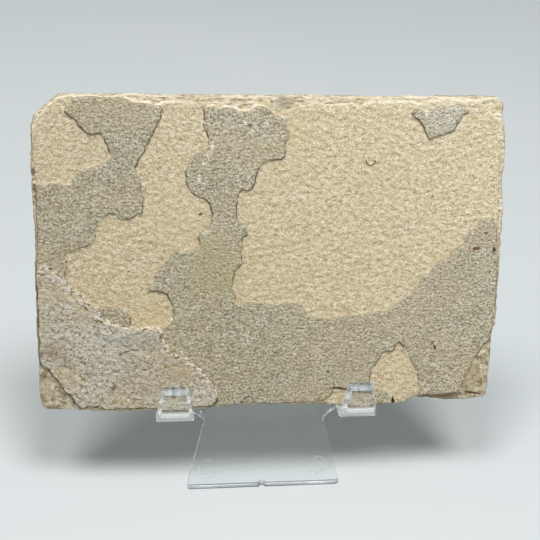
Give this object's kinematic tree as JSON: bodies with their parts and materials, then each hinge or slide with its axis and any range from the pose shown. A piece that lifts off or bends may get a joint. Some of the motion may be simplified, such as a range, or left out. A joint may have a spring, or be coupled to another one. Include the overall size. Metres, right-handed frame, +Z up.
{
  "type": "layered limestone slab on a display stand",
  "caption": "Thin rectangular slab of split, layered limestone that leans back on a small clear plastic display stand with hooked arms and a rear leg.",
  "frame": {"origin": "on the table, under the middle of the whole", "axes": "+Z up, the stone faces -Y and leans back towards +Y, +X to the right of somebody who looks at its face"},
  "size_m": [0.154, 0.0646, 0.1335],
  "materials": {
    "limestone": "dry, split limestone: cream beds with grey-brown remnants of the bed above",
    "clear_plastic": "clear, glossy, moulded"
  },
  "bodies": {
    "root": {"slab": "limestone", "stand": "clear_plastic"}
  },
  "joints": []
}
